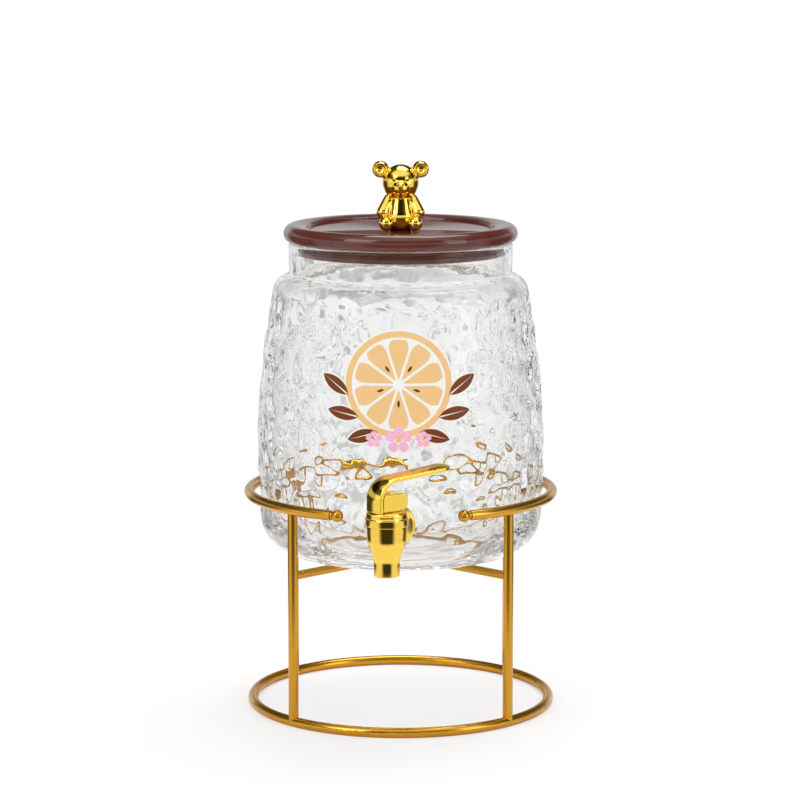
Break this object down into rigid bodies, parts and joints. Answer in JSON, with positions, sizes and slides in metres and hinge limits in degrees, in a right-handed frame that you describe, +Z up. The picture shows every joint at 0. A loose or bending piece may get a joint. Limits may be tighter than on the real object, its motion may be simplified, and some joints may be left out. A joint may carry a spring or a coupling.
{
  "type": "glass drink dispenser",
  "caption": "Hammered glass jar with a lever tap, a turned lid with a seated bear knob and a printed fruit slice, standing in a welded wire stand with an open ring.",
  "frame": {"origin": "on the table under the jar's axis, in the plane of the base ring's ground flat", "axes": "+Z up along the jar's axis, -Y to the front where the tap is, +X to the right seen from the front"},
  "size_m": [0.1852, 0.2204, 0.3232],
  "materials": {
    "stand_gold": "satin gold lacquer on steel rod",
    "clear_glass": "clear hammered glass",
    "decal_print": "screen print in tan, brown, white and pink",
    "plated_gold": "mirror-bright gold electroplating",
    "silicone": "milky silicone",
    "brown_silicone": "dark brown silicone, to match the lid",
    "black_rubber": "matt black",
    "steel": "bright zinc",
    "lacquered_wood": "reddish brown gloss lacquer"
  },
  "bodies": {
    "stand": {"base_ring": "stand_gold", "top_ring": "stand_gold", "left_ball_end": "stand_gold", "right_ball_end": "stand_gold", "front_left_leg": "stand_gold", "front_right_leg": "stand_gold", "rear_left_leg": "stand_gold", "rear_right_leg": "stand_gold", "cross_bar": "stand_gold", "front_half_bar": "stand_gold", "rear_half_bar": "stand_gold"},
    "jar": {"glass_jar": "clear_glass", "front_decal": "decal_print", "tap_body": "plated_gold", "outer_washer": "silicone", "inner_washer": "silicone", "shank_nut": "plated_gold", "bonnet": "plated_gold", "stem_seal": "black_rubber", "return_spring": "steel"},
    "lid": {"lid": "lacquered_wood", "lid_seal": "brown_silicone", "finial": "plated_gold", "finial_screw": "steel", "finial_washer": "steel"},
    "seat": {"seat_cup": "silicone"},
    "stem": {"valve_stem": "plated_gold"},
    "lever": {"lever": "plated_gold"}
  },
  "joints": [
    {"name": "jar_lift", "type": "slide", "parent": "stand", "child": "jar", "axis": [0, 0, 1], "range_m": [0, 0.12]},
    {"name": "lid_lift", "type": "slide", "parent": "jar", "child": "lid", "axis": [0, 0, 1], "range_m": [0, 0.08]},
    {"name": "seat_lift", "type": "slide", "parent": "jar", "child": "seat", "axis": [0, 0, 1], "range_m": [0, 0.00241], "stiffness_N_per_m": 300, "springref_m": -0.004, "deforming": ["return_spring"]},
    {"name": "lever_swivel", "type": "hinge", "parent": "seat", "child": "stem", "pos_m": [-0.00769, -0.11575, 0.13], "axis": [0, 0, 1], "range_deg": [-264, 2.5]},
    {"name": "lever_tilt", "type": "hinge", "parent": "stem", "child": "lever", "pos_m": [-0.00769, -0.11575, 0.1419], "axis": [-0.6046, 0.7965, 0], "range_deg": [0, 25]}
  ],
  "couplings": [
    {"joint": "seat_lift", "follows": "lever_tilt", "m_per_rad": 0.0055}
  ]
}
